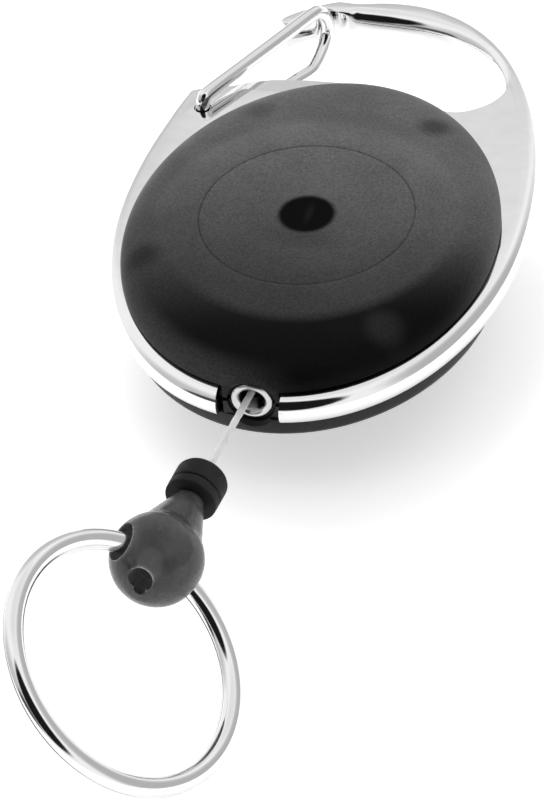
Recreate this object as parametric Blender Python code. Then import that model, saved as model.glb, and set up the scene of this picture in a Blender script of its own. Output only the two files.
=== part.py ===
"""Retractable badge reel with a carabiner frame, modelled as the separate pieces it is assembled from.

Frame of the model: metres, +Z out of the front cover, +Y towards the carabiner hook.
The origin is on the spool axis, on the flat of the rear cover. The cord leaves towards -Y.
"""

import math

import bmesh
import bpy
import numpy as np
from mathutils import Matrix, Vector

MM = 0.001

# Driving dimensions, in millimetres unless the name says otherwise.
BODY_T = 10.8  # casing, front flat to rear flat
MID_Z = BODY_T / 2  # parting plane of the two covers
OVAL_A, OVAL_B, OVAL_Y = 17.75, 22.5, 1.25  # casing outline: half width, half length, centre
OVAL_PULL = 0.005  # how far the outline is drawn in at its four diagonals
OVAL_TAPER = 0.02  # how much narrower it gets towards the hook
WALL_FRONT, WALL_REAR = 2.0, 3.0  # height of the straight side wall of each cover from the parting plane
FLAT_R = 10.2  # flat middle of each cover
DOME_R = 14.6  # where the crowned top turns into the shoulder
WALL = 1.2
LIP = 1.1  # cover lip that lies over the frame
FRAME_T = 3.0
FRAME_A, FRAME_Y = 19.85, 5.0  # outer outline of the frame: half width, centre
FRAME_TOP, FRAME_BOTTOM = 34.4, 27.6  # its half lengths above and below that centre
FRAME_FULL = 0.95  # under 1 fills its four corners a little
MOUTH_X = -0.45  # centre of the cord outlet
GAP_X = 3.0  # half of the frame's gap at the cord outlet
RAIL_R = 1.35  # rounding of the outer rail
WIRE_R = 0.7
GATE_PIVOT = (-15.5, 18.9)
GATE_END = (-8.0, 33.6)  # where the legs turn into the bend that closes the hook
GATE_LEG_Z = 2.75  # gate legs, in front of and behind the parting plane
SPINDLE_R = 2.85
SPOOL_R = 14.6
CORE_R = 9.4
CORD_R = 0.36
OUTLET_Y = -20.4  # flat of the collar that the eyelet sits on
MOUTH_Y = -20.85  # outer face of the eyelet
EXIT_X = -0.9  # the pulled cord lies against the left side of the eyelet
CORD_YAW = math.radians(6.88)  # the pulled cord, from -Y towards -X
BUMPER_S = 10.5  # distances along the cord, measured from the eyelet's mouth
BELL_S = 21.7
BELL_R = 4.27
KNOT_S = 19.55
NECK_S = 13.9
CHAMBER_DIR = Vector((-0.09, -0.978, 0.19)).normalized()  # the knot chamber, from the knot to its mouth
RING_S = 22.3
RING_MEAN_R, RING_W, RING_T = 11.5, 1.9, 2.1
RING_DROP, RING_LEAN = 11.15, 0.2  # ring centre from the hole's centre: along the hang, along the normal
RING_HANG = Vector((0.018, -0.993, -0.117))
RING_NORMAL = Vector((0.686, -0.091, 0.722)).normalized()
GAP = 0.15  # assembly clearance between neighbouring pieces

ROUND = 48  # segments of a full turn on large round pieces
SMALL_ROUND = 24

CORD_DIR = Vector((-math.sin(CORD_YAW), -math.cos(CORD_YAW), 0.0))
EYELET_AT = Vector((MOUTH_X, MOUTH_Y, MID_Z))
EXIT = Vector((EXIT_X, MOUTH_Y, MID_Z))


def clear_scene():
    for obj in list(bpy.data.objects):
        bpy.data.objects.remove(obj, do_unlink=True)


def material(name, colour, roughness, metallic=0.0):
    made = bpy.data.materials.new(name)
    made.use_nodes = True
    shader = made.node_tree.nodes["Principled BSDF"]
    shader.inputs["Base Color"].default_value = (*colour, 1.0)
    shader.inputs["Roughness"].default_value = roughness
    shader.inputs["Metallic"].default_value = metallic
    return made


def place(name, mesh, mat, location=(0.0, 0.0, 0.0), turn=None, helper=False):
    """Links a mesh as an object. Location is in millimetres, turn is a rotation matrix."""
    obj = bpy.data.objects.new(name, mesh)
    bpy.context.scene.collection.objects.link(obj)
    rotation = turn.to_4x4() if turn else Matrix.Identity(4)
    obj.matrix_world = Matrix.Translation(Vector(location) * MM) @ rotation
    if helper:
        obj.hide_render = True
        obj.display_type = "WIRE"
    else:
        mesh.materials.append(mat)
        mesh.shade_smooth()
        mesh.set_sharp_from_angle(angle=math.radians(35))
    return obj


def finish_mesh(bm, name):
    """Scales a millimetre bmesh to metres and closes it into a mesh with outward faces."""
    bmesh.ops.remove_doubles(bm, verts=bm.verts, dist=1e-4)
    bmesh.ops.recalc_face_normals(bm, faces=bm.faces)
    bmesh.ops.scale(bm, vec=(MM, MM, MM), verts=bm.verts)
    mesh = bpy.data.meshes.new(name)
    bm.to_mesh(mesh)
    bm.free()
    return mesh


def revolve(name, profile, segments=ROUND):
    """Turns a closed (radius, height) outline about Z."""
    bm = bmesh.new()
    verts = [bm.verts.new((r, 0.0, z)) for r, z in profile]
    edges = [bm.edges.new((verts[i - 1], verts[i])) for i in range(len(verts))]
    bmesh.ops.spin(
        bm, geom=verts + edges, cent=(0, 0, 0), axis=(0, 0, 1), angle=math.tau, steps=segments, use_merge=True
    )
    return finish_mesh(bm, name)


def loft(name, rings):
    """Bridges a list of point rings of one size, with the first and the last ring capped."""
    bm = bmesh.new()
    rows = [[bm.verts.new(p) for p in ring] for ring in rings]
    count = len(rings[0])
    for low, high in zip(rows, rows[1:]):
        for i in range(count):
            j = (i + 1) % count
            bm.faces.new((low[i], low[j], high[j], high[i]))
    bm.faces.new(rows[0])
    bm.faces.new(rows[-1])
    return finish_mesh(bm, name)


def cylinder(name, radius, z0, z1, segments=SMALL_ROUND):
    """A round bar, turned so that no vertex falls on a plane of symmetry."""
    mesh = revolve(name, [(0, z0), (radius, z0), (radius, z1), (0, z1)], segments)
    mesh.transform(Matrix.Rotation(0.53 * math.pi / segments, 4, "Z"))
    return mesh


def box(name, low, high):
    bm = bmesh.new()
    bmesh.ops.create_cube(bm, size=1.0)
    size = Vector(high) - Vector(low)
    bmesh.ops.scale(bm, vec=size, verts=bm.verts)
    bmesh.ops.translate(bm, vec=(Vector(high) + Vector(low)) / 2, verts=bm.verts)
    return finish_mesh(bm, name)


def boolean(obj, other, operation="DIFFERENCE"):
    step = obj.modifiers.new(f"{operation.title()} {other.name}", "BOOLEAN")
    step.operation = operation
    step.object = other


def cut(obj, name, mesh, location=(0.0, 0.0, 0.0), turn=None):
    boolean(obj, place(f"cut_{name}", mesh, None, location, turn, helper=True))


def join(obj, name, mesh, location=(0.0, 0.0, 0.0), turn=None):
    boolean(obj, place(f"add_{name}", mesh, None, location, turn, helper=True), "UNION")


def smooth_curve(points, steps):
    """A Catmull-Rom curve through the points, with steps samples on each stretch."""
    route = [Vector(p) for p in points]
    route = [2 * route[0] - route[1], *route, 2 * route[-1] - route[-2]]
    samples = []
    for p0, p1, p2, p3 in zip(route, route[1:], route[2:], route[3:]):
        for k in range(steps):
            t = k / steps
            samples.append(
                0.5 * (2 * p1 + (p2 - p0) * t + (2 * p0 - 5 * p1 + 4 * p2 - p3) * t**2)
                + 0.5 * (3 * p1 - p0 - 3 * p2 + p3) * t**3
            )
    return samples + [route[-2]]


def tube(name, points, radius, mat, sides=2, origin=(0.0, 0.0, 0.0)):
    """A round tube as a poly curve, its points given in millimetres in the model's frame."""
    curve = bpy.data.curves.new(name, "CURVE")
    curve.dimensions = "3D"
    curve.bevel_depth = radius * MM
    curve.bevel_resolution = sides
    curve.use_fill_caps = True
    spline = curve.splines.new("POLY")
    spline.points.add(len(points) - 1)
    for point, place_at in zip(spline.points, points):
        point.co = (*((Vector(place_at) - Vector(origin)) * MM), 1.0)
    curve.materials.append(mat)
    obj = bpy.data.objects.new(name, curve)
    obj.location = Vector(origin) * MM
    bpy.context.scene.collection.objects.link(obj)
    return obj


# The casing


def oval(inset, count=ROUND):
    """The casing's outline drawn in by inset, as (x, y) points from +X counterclockwise."""
    points = []
    for k in range(count):
        t = math.tau * k / count
        scale = 1 - OVAL_PULL * math.sin(2 * t) ** 2
        x = (OVAL_A - inset) * math.cos(t) * scale * (1 - OVAL_TAPER * math.sin(t))
        y = (OVAL_B - inset) * math.sin(t) * scale + OVAL_Y
        points.append((x, y))
    return points


def between(inset, radius, share, z):
    """A ring of the casing: share 0 is the oval at this inset, share 1 a circle of this radius."""
    ring = []
    for k, (x, y) in enumerate(oval(inset)):
        t = math.tau * k / ROUND
        ring.append(
            (
                x + share * (radius * math.cos(t) - x),
                y + share * (radius * math.sin(t) - y),
                z,
            )
        )
    return ring


def cover_rings(wall_top):
    """Rings of the front cover, from the middle of its inside round the skirt to its outer flat."""
    lip_z = FRAME_T / 2 + GAP
    skirt_z = GAP
    crown_z = 4.85
    flat_z = BODY_T / 2
    inner_inset = LIP + GAP + 1.0
    rings = [between(0, FLAT_R, 1, flat_z - WALL), between(0, DOME_R - 1, 1, crown_z - WALL)]
    for k in range(1, 4):
        a = math.pi / 2 * k / 3
        rise = (crown_z - WALL - lip_z) * math.cos(a)
        rings.append(between(inner_inset, DOME_R - 1, 1 - math.sin(a), lip_z + rise))
    rings.append(between(inner_inset, DOME_R, 0, skirt_z))
    rings.append(between(LIP + GAP, DOME_R, 0, skirt_z))
    rings.append(between(LIP + GAP, DOME_R, 0, lip_z))
    rings.append(between(0, DOME_R, 0, lip_z))
    steps = 5
    for k in range(steps + 1):
        a = math.pi / 2 * k / steps
        rise = (crown_z - wall_top) * math.sin(a)
        rings.append(between(0, DOME_R, 1 - math.cos(a), wall_top + rise))
    rings.append(between(0, FLAT_R, 1, flat_z))
    return rings


POSTS = [(8.7, 15.8), (-8.7, 15.8), (7.4, -14.9), (-7.4, -14.9)]
ALONG_Y = Matrix.Rotation(math.pi / 2, 3, "X")  # turns +Z to -Y


def outlet_shapes(cover, side, tag):
    """The collar of the cord outlet, with half of the eyelet's seat. Side is 1 in front, -1 behind."""
    near, far = sorted((side * (GAP + 0.06), side * 2.9))
    block = box(f"collar_{tag}", (MOUTH_X - 2.7, OUTLET_Y - 0.45, MID_Z + near), (MOUTH_X + 2.7, -18.0, MID_Z + far))
    join(cover, f"collar_{tag}", block)
    flange_seat = cylinder(f"seat_{tag}", 2.25, 0, 4.0)
    cut(cover, f"seat_{tag}", flange_seat, (MOUTH_X, OUTLET_Y, MID_Z), ALONG_Y)
    barrel_seat = cylinder(f"barrel_{tag}", 1.62, -6.0, 2.0)
    cut(cover, f"barrel_{tag}", barrel_seat, (MOUTH_X, OUTLET_Y, MID_Z), ALONG_Y)


def build_front_cover(mat):
    rings = [[(x, y, MID_Z + z) for x, y, z in ring] for ring in cover_rings(WALL_FRONT)]
    cover = place("front_cover", loft("front_cover", rings), mat)
    outlet_shapes(cover, 1, "front")
    for k, (x, y) in enumerate(POSTS):
        post = cylinder(f"post_{k}", 1.2, GAP + 0.08, 3.3, 16)
        join(cover, f"post_{k}", post, (x, y, MID_Z))
        pin = cylinder(f"pin_{k}", 0.6, -2.0, 1.0, 12)
        join(cover, f"pin_{k}", pin, (x, y, MID_Z))
    return cover


def build_rear_cover(mat):
    rings = [[(x, y, MID_Z - z) for x, y, z in ring] for ring in cover_rings(WALL_REAR)]
    cover = place("rear_cover", loft("rear_cover", rings), mat)
    outlet_shapes(cover, -1, "rear")
    for k, (x, y) in enumerate(POSTS):
        socket = cylinder(f"socket_{k}", 1.2, -3.12, -GAP - 0.08, 16)
        join(cover, f"socket_{k}", socket, (x, y, MID_Z))
        hole = cylinder(f"socket_hole_{k}", 0.78, -2.3, 0.5, 12)
        cut(cover, f"socket_hole_{k}", hole, (x, y, MID_Z))
    return cover


# The carabiner frame and its gate


def frame_ellipse(t):
    reach = FRAME_TOP if math.sin(t) > 0 else FRAME_BOTTOM
    across = math.copysign(abs(math.cos(t)) ** FRAME_FULL, math.cos(t))
    return (FRAME_A * across, FRAME_Y + reach * math.sin(t))


def frame_outline():
    """The frame's outline, counterclockwise, as (x, y, edge rounding)."""
    left_x, right_x = MOUTH_X - GAP_X, MOUTH_X + GAP_X
    left_t, right_t = (math.acos((abs(x) / FRAME_A) ** (1 / FRAME_FULL)) for x in (left_x, right_x))
    hook_t = math.radians(103)
    shoulder_t = math.radians(151.5)
    outline = [(*frame_ellipse(t), RAIL_R) for t in np.linspace(-right_t, hook_t, 40)]
    nose = [(-7.2, 37.6), (-9.5, 36.1), (-11.1, 34.7), (-11.3, 34.0), (-10.7, 33.4), (-9.3, 34.3)]
    notch = [(-8.0, 35.15), (-7.8, 35.7), (-7.35, 36.3), (-6.7, 36.45), (-5.9, 36.2)]
    outline += [(x, y, 0.5) for x, y in nose]
    outline += [(x, y, 0.25) for x, y in notch]
    hook_inside = [
        (-3.5, 36.0, 0), (0.0, 35.9, 0), (3.2, 35.5, 0), (6.7, 34.4, 0), (9.9, 32.3, 0),
        (12.0, 29.6, 0), (12.9, 26.9, 0), (12.5, 24.9, 0), (11.2, 23.3, 0), (9.5, 22.4, 0),
        (7.7, 22.4, 0), (5.6, 23.2, 0), (2.8, 24.4, 0), (0.0, 25.0, 0), (-4.5, 25.0, 0),
        (-9.0, 24.6, 0), (-11.3, 24.0, 0), (-13.6, 22.9, 0), (-15.8, 22.3, 0), (-17.3, 21.6, 0),
    ]  # fmt: skip
    outline += [(p.x, p.y, 0.5) for p in smooth_curve(hook_inside, 2)]
    left = np.linspace(shoulder_t, math.pi + left_t, 24)
    outline += [(*frame_ellipse(t), RAIL_R) for t in left]
    inside = [(x, y) for x, y in oval(LIP, 60) if y > 0 or not left_x - 0.2 < x < right_x + 0.2]
    inside.sort(key=lambda p: (math.atan2(p[0], OVAL_Y - p[1]) + math.tau) % math.tau, reverse=True)
    lower = [p for p in oval(LIP - 0.05, 720) if p[1] < 0]
    left_y, right_y = (min(lower, key=lambda p: abs(p[0] - x))[1] for x in (left_x, right_x))
    outline.append((left_x, left_y, 0.25))
    outline += [(x, y, 0.25) for x, y in inside]
    outline.append((right_x, right_y, 0.25))
    return outline


def rounded_plate(name, outline, z_mid, thickness, steps=3):
    """A plate with this outline whose top and bottom edges are rounded point by point."""
    points = [Vector((x, y)) for x, y, _ in outline]
    count = len(points)
    outward = []
    for i in range(count):
        before = (points[i] - points[i - 1]).normalized()
        after = (points[(i + 1) % count] - points[i]).normalized()
        along = (before + after).normalized()
        outward.append(Vector((along.y, -along.x)))
    rings = []
    angles = [math.pi / 2 * k / steps for k in range(steps + 1)]
    for side in (-1, 1):
        for a in angles if side > 0 else reversed(angles):
            ring = []
            for point, normal, (_, _, radius) in zip(points, outward, outline):
                at = point - normal * radius * (1 - math.cos(a))
                rise = thickness / 2 - radius * (1 - math.sin(a))
                ring.append((at.x, at.y, z_mid + side * rise))
            rings.append(ring)
    return loft(name, rings)


def build_frame(mat):
    frame = place("carabiner_frame", rounded_plate("carabiner_frame", frame_outline(), MID_Z, FRAME_T), mat)
    pivot_hole = cylinder("pivot_hole", WIRE_R + GAP, -4.0, 4.0, 16)
    cut(frame, "pivot_hole", pivot_hole, (*GATE_PIVOT, MID_Z))
    return frame


def build_gate(mat):
    """One wire: in at the front of the pivot hole, round the hook's nose, and in again from behind."""
    pivot = Vector((*GATE_PIVOT, 0.0))
    leg_end = Vector((*GATE_END, 0.0))
    along = (leg_end - pivot).normalized()
    side = Vector((along.y, -along.x, 0.0))
    up = Vector((0.0, 0.0, 1.0))
    front = [(0.0, 0.3), (0.0, 1.35), (0.25, 2.4), (1.2, GATE_LEG_Z), (6.0, GATE_LEG_Z), (12.0, GATE_LEG_Z)]
    route = [pivot + along * reach + up * z for reach, z in front]
    for degrees in (90, 65, 40, 20, 0, -20, -40, -65, -90):
        a = math.radians(degrees)
        bow = 0.5 * (1 - math.cos(2 * a)) if a < 0 else 0.0
        bend = along * 2.2 * math.cos(a) + up * GATE_LEG_Z * math.sin(a)
        route.append(leg_end + bend + side * bow)
    for (reach, z), bow in zip(reversed(front), (0.75, 0.3, 0.0, 0.0, 0.0, 0.0)):
        route.append(pivot + along * reach - up * z + side * bow)
    points = [Vector((0.0, 0.0, MID_Z)) + p for p in smooth_curve(route, 3)]
    return tube("gate_wire", points, WIRE_R, mat, sides=3, origin=(*GATE_PIVOT, MID_Z))


# The reel inside


def build_spindle(mat):
    floor = -BODY_T / 2 + WALL + 0.1
    top = -floor
    profile = [(0, floor), (4.6, floor), (4.6, floor + 0.3), (SPINDLE_R, floor + 0.3), (SPINDLE_R, top - 0.3)]
    profile += [(SPINDLE_R - 0.3, top), (0, top)]
    spindle = place("spindle", revolve("spindle", profile, 32), mat, (0, 0, MID_Z))
    slot = box("spring_slot", (-0.35, -6, -2.45), (0.35, 6, 6))
    cut(spindle, "spring_slot", slot, (0, 0, MID_Z))
    return spindle


def ring_profile(inner, outer, z0, z1):
    return [(inner, z0), (outer, z0), (outer, z1), (inner, z1)]


def build_thrust_washer(mat):
    mesh = revolve("thrust_washer", ring_profile(SPINDLE_R + GAP, 5.4, -3.65, -3.45), 32)
    return place("thrust_washer", mesh, mat, (0, 0, MID_Z))


def build_spool(mat):
    """The drum: rear flange, hub bore and the cup wall that the cord winds on and the spring sits in."""
    cup_r = 7.4
    step_r = 8.5
    profile = [
        (SPINDLE_R + 0.1, -3.3), (SPOOL_R, -3.3), (SPOOL_R, -2.7), (CORE_R, -2.7), (CORE_R, 2.35),
        (step_r, 2.35), (step_r, 3.1), (cup_r, 3.1), (cup_r, -2.7), (SPINDLE_R + 0.1, -2.7),
    ]  # fmt: skip
    drum = place("spool_drum", revolve("spool_drum", profile), mat, (0, 0, MID_Z))
    knot_pocket = cylinder("knot_pocket", 0.85, -0.2, 4.0, 16)
    cut(drum, "knot_pocket", knot_pocket, (0, -8.4, MID_Z))
    cut(drum, "cord_slot", box("cord_slot", (-0.66, -12, -0.11), (0.66, -8.6, 4.1)), (0, 0, MID_Z))
    cut(drum, "hook_slot", box("hook_slot", (6.9, -0.35, -2.6), (8.35, 0.35, 4)), (0, 0, MID_Z))

    flange = revolve("spool_flange", ring_profile(step_r + 0.1, SPOOL_R, 2.45, 3.1))
    place("spool_flange", flange, mat, (0, 0, MID_Z))
    return drum


def build_spring_retainer(mat):
    mesh = revolve("spring_retainer", ring_profile(SPINDLE_R + GAP, 7.25, 2.2, 2.5), 32)
    return place("spring_retainer", mesh, mat, (0, 0, MID_Z))


def build_power_spring(mat):
    """A flat steel strip: its inner end in the spindle's slot, its outer end in the drum's slot."""
    turns, inner_r, outer_r = 6, 3.3, 6.9
    strip_t, z0, z1 = 0.22, -2.35, 1.95
    path = [Vector((0.0, r)) for r in (1.3, 2.4, 3.15)]
    steps = 26 * turns
    for k in range(2, steps + 1):
        t = k / steps
        angle = math.pi / 2 + t * (math.tau * turns - math.pi / 2 - 0.12)
        radius = inner_r + (outer_r - inner_r) * t
        path.append(Vector((radius * math.cos(angle), radius * math.sin(angle))))
    path += [Vector((7.15, 0.0)), Vector((8.1, 0.0))]
    left, right = [], []
    for i, point in enumerate(path):
        along = (path[min(i + 1, len(path) - 1)] - path[max(i - 1, 0)]).normalized()
        side = Vector((-along.y, along.x)) * strip_t / 2
        left.append(point + side)
        right.append(point - side)
    outline = left + right[::-1]
    mesh = loft("power_spring", [[(p.x, p.y, z) for p in outline] for z in (z0, z1)])
    return place("power_spring", mesh, mat, (0, 0, MID_Z))


def knot_mesh(name, radius):
    """A pulled-tight overhand knot: a ball with three shallow lobes."""
    rings = []
    for k in range(1, 8):
        a = math.pi * k / 8
        ring = []
        for j in range(16):
            t = math.tau * j / 16
            r = radius * math.sin(a) * (1 + 0.08 * math.sin(3 * t + 4 * a) - 0.08)
            ring.append((r * math.cos(t), r * math.sin(t), -radius * math.cos(a)))
        rings.append(ring)
    return loft(name, rings)


def build_winding(mat):
    inner, outer, z0, z1, soft = CORE_R + 0.2, 11.85, -2.4, 2.2, 0.4
    profile = [
        (inner, z0), (outer - soft, z0), (outer, z0 + soft), (outer, z1 - soft), (outer - soft, z1), (inner, z1),
    ]  # fmt: skip
    place("cord_winding", revolve("cord_winding", profile), mat, (0, 0, MID_Z))
    place("anchor_knot", knot_mesh("anchor_knot", 0.72), mat, (0, -8.4, MID_Z + 0.7))


def build_eyelet(mat):
    """A rolled eyelet: bright flange outside, barrel through the collar, flared end inside."""
    flange = [(1.1, 1.3), (1.14, 0.65), (1.25, 0.28), (1.45, 0.07), (1.65, 0.0), (1.86, 0.06), (2.03, 0.25)]
    barrel = [(1.98, 0.4), (1.5, 0.42), (1.5, 2.8)]
    flare = [(1.56, 2.95), (1.9, 2.97), (1.92, 3.1), (1.62, 3.14), (1.3, 2.85), (1.1, 2.4)]
    turned = [(r, -z) for r, z in flange + barrel + flare]
    mesh = revolve("eyelet", turned, 32)
    return place("eyelet", mesh, mat, tuple(EYELET_AT), ALONG_Y)


# The cord and what hangs on it


def cord_frame():
    """Axes of the pulled cord: +Z runs out along the cord, +Y is the model's +Z."""
    up = Vector((0, 0, 1))
    return Matrix((up.cross(CORD_DIR), up, CORD_DIR)).transposed()


def along_cord(s):
    return EXIT + CORD_DIR * s


def build_cord(mat):
    """The cord from the winding, through the eyelet, to the knot in the bell."""
    inside = [(-8.7, -9.0), (-6.3, -11.5), (-3.8, -14.1), (-1.9, -16.2), (-0.85, -17.8), (-0.74, -19.2)]
    route = [(x, y, MID_Z) for x, y in inside]
    route += [tuple(along_cord(s)) for s in (0, 3, 6, 9, 12, 15, KNOT_S - 1.1)]
    return tube("cord", smooth_curve(route, 2), CORD_R, mat, sides=2, origin=tuple(EXIT))


def build_bumper(mat):
    bore = CORD_R + 0.2
    top, seam, bottom = BUMPER_S, NECK_S - 1.2, NECK_S - 0.1
    sleeve = [(bore, top), (2.2, top), (2.42, top + 0.2), (2.48, top + 0.5), (2.48, seam - 0.15)]
    sleeve += [(2.38, seam), (bore, seam)]
    low = seam + 0.1
    washer = [(bore, low), (2.38, low), (2.48, low + 0.1), (2.46, bottom - 0.1), (2.36, bottom), (bore, bottom)]
    turn = cord_frame()
    place("bumper_sleeve", revolve("bumper_sleeve", sleeve, 32), mat, EXIT, turn)
    place("bumper_washer", revolve("bumper_washer", washer, 32), mat, EXIT, turn)


def ring_axes():
    """Where the split ring passes through the bell, and its frame: X along the hole, Z the ring's normal."""
    hang = (RING_HANG - RING_NORMAL * RING_HANG.dot(RING_NORMAL)).normalized()
    hole = RING_NORMAL.cross(hang)
    turn = Matrix((hole, RING_NORMAL.cross(hole), RING_NORMAL)).transposed()
    return along_cord(RING_S), hang, hole, turn


def build_bell(mat):
    """The bell: neck cone into a ball, bored for the cord and its knot, crossed by the ring's hole."""
    neck_s, neck_r = NECK_S, 1.45
    join_a = math.radians(47)
    profile = [(CORD_R + 0.2, neck_s), (neck_r - 0.25, neck_s), (neck_r, neck_s + 0.25)]
    steps = 9
    for k in range(steps + 1):
        a = join_a + (math.radians(160) - join_a) * k / steps
        profile.append((BELL_R * math.sin(a), BELL_S - BELL_R * math.cos(a)))
    flat_s = BELL_S + BELL_R * math.cos(math.radians(20))
    profile += [(CORD_R + 0.2, flat_s)]
    turn = cord_frame()
    bell = place("bell_end", revolve("bell_end", profile, 32), mat, EXIT, turn)
    centre, _, hole, _ = ring_axes()
    chamber = [(0, -1.25), (CORD_R + 0.3, -1.25), (1.15, -0.95), (1.15, 8), (0, 8)]
    tilt = CHAMBER_DIR.to_track_quat("Z", "Y").to_matrix()
    cut(bell, "knot_chamber", revolve("knot_chamber", chamber, SMALL_ROUND), tuple(along_cord(KNOT_S)), tilt)
    waist, mouth, reach = 1.5, 2.05, 5.2
    flare = [(0, -reach), (mouth, -reach)]
    flare += [(waist + (mouth - waist) * (z / reach) ** 2, z) for z in (-3.4, -1.7, 0, 1.7, 3.4)]
    flare += [(mouth, reach), (0, reach)]
    across = hole.to_track_quat("Z", "Y").to_matrix()
    cut(bell, "ring_hole", revolve("ring_hole", flare, SMALL_ROUND), tuple(centre), across)
    place("end_knot", knot_mesh("end_knot", 0.95), bpy.data.materials["white_cord"], tuple(along_cord(KNOT_S)))
    return bell


def build_split_ring(mat):
    """Two turns of half-round wire, one on the other, with the slit between them kept closed at rest."""
    centre, hang, _, turn = ring_axes()
    half_w, half_t, slit = RING_W / 2, RING_T / 2, 0.16
    profile = []
    for side in (1, -1):
        for k in range(9):
            a = math.pi * k / 8 + (0 if side > 0 else math.pi)
            profile.append((half_w * math.cos(a), side * slit + (half_t - slit) * math.sin(a)))
        profile.append((-side * (half_w - 0.14), 0.0))
    ring = revolve("split_ring", [(RING_MEAN_R + r, z) for r, z in profile], ROUND)
    bm = bmesh.new()
    bm.from_mesh(ring)
    offset = turn.inverted() @ ((hang * RING_DROP + RING_NORMAL * RING_LEAN) * MM)
    bmesh.ops.translate(bm, vec=offset, verts=bm.verts)
    bm.to_mesh(ring)
    bm.free()
    return place("split_ring", ring, mat, tuple(centre), turn)


def build():
    clear_scene()
    chrome = material("chrome", (0.78, 0.79, 0.8), 0.12, 1.0)
    gate_steel = material("gate_steel", (0.72, 0.73, 0.74), 0.15, 1.0)
    ring_steel = material("ring_steel", (0.74, 0.74, 0.73), 0.18, 1.0)
    eyelet_chrome = material("eyelet_chrome", (0.75, 0.76, 0.77), 0.15, 1.0)
    smoke = material("smoke_plastic", (0.045, 0.045, 0.047), 0.5)
    bell_smoke = material("bell_plastic", (0.07, 0.072, 0.074), 0.15)
    acetal = material("black_acetal", (0.012, 0.012, 0.013), 0.4)
    reel_grey = material("reel_plastic", (0.1, 0.1, 0.1), 0.45)
    film = material("washer_film", (0.6, 0.6, 0.56), 0.3)
    blued = material("spring_steel", (0.25, 0.26, 0.28), 0.3, 1.0)
    white_cord = material("white_cord", (0.82, 0.82, 0.8), 0.8)
    rubber = material("bumper_rubber", (0.02, 0.02, 0.02), 0.75)

    build_frame(chrome)
    build_gate(gate_steel)
    build_front_cover(smoke)
    build_rear_cover(smoke)
    build_spindle(acetal)
    build_thrust_washer(film)
    build_spool(reel_grey)
    build_spring_retainer(film)
    build_power_spring(blued)
    build_winding(white_cord)
    build_eyelet(eyelet_chrome)
    build_cord(white_cord)
    build_bumper(rubber)
    build_bell(bell_smoke)
    build_split_ring(ring_steel)


build()
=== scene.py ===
"""Studio scene of a retractable badge reel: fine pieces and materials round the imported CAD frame.

Shapes are written in millimetres in the CAD frame and scaled to metres when a mesh is made. MID_Z is
the height of the plane halfway through the casing, where the frame and the cord lie.
"""

import math

import bmesh
import bpy
import numpy as np
from mathutils import Matrix, Vector, noise


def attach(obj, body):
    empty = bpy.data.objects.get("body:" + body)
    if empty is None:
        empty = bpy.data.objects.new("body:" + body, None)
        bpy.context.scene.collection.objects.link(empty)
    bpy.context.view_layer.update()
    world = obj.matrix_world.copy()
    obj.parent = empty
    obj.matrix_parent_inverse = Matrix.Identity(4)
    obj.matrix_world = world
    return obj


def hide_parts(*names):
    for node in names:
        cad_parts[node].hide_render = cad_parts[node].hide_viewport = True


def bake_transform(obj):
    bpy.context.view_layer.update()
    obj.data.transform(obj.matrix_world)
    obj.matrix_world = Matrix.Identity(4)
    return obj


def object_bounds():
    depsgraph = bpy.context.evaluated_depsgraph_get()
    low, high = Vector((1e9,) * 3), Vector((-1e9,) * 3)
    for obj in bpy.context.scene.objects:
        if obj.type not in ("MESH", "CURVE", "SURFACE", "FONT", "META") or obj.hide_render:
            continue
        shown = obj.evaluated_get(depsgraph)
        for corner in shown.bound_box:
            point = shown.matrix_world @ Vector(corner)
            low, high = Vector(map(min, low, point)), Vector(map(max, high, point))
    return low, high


MM = 0.001
WELD = 0.0001  # points nearer than this become one
SLIVER = 0.002  # edges shorter than this are collapsed after cuts

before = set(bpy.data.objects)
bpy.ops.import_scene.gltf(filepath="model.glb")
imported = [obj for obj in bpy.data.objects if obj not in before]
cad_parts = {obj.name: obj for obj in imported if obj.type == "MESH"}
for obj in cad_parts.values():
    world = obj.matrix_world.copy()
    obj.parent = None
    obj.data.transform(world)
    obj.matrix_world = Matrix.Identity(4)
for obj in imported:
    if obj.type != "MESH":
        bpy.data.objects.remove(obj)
CAD_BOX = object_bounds()

# ---------------------------------------------------------------- dimensions, as in the CAD part

MID_Z = 5.4

# Casing: the oval's half axes, centre, flattening and taper, the flat middle and the dome, the wall.
OVAL_A, OVAL_B, OVAL_Y, OVAL_PULL, OVAL_TAPER = 17.75, 22.5, 1.25, 0.005, 0.02
FLAT_R, DOME_R = 10.2, 14.6
LIP, WALL = 1.1, 1.2
WALL_FRONT, WALL_REAR = 2.0, 3.0
POSTS = ((8.7, 15.8), (-8.7, 15.8), (7.4, -14.9), (-14.0, -7.6))

# Frame: thickness, half width, centre, reach to the hook and to the outlet, fullness, the outlet gap.
FRAME_T = 3.0
FRAME_A, FRAME_Y, FRAME_TOP, FRAME_BOTTOM, FRAME_FULL = 19.85, 5.0, 34.4, 27.6, 0.95
FRAME_END_X = 1.3
MOUTH_X, GAP_X = -0.45, 3.0
GATE_PIVOT, GATE_END, GATE_LEG_Z, WIRE_R = (-15.5, 18.9), (-8.0, 33.6), 2.75, 0.7

# Cord and what is on it. A name that ends in _S is a distance along the cord from EXIT.
CORD_R = 0.36
OUTLET_Y, MOUTH_Y, EXIT_X = -20.4, -20.85, -0.9
CORD_YAW = math.radians(6.88)
BUMPER_S, NECK_S, KNOT_S, BELL_S, RING_S = 10.5, 13.9, 19.55, 21.7, 22.3
BUMPER_R = 2.48
CORD_BORE = CORD_R + 0.2
BELL_R, NECK_R = 4.27, 1.45
HOLE_WAIST, HOLE_MOUTH, HOLE_REACH = 1.5, 2.05, 5.2
CHAMBER_DIR = Vector((-0.09, -0.978, 0.19)).normalized()

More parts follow.
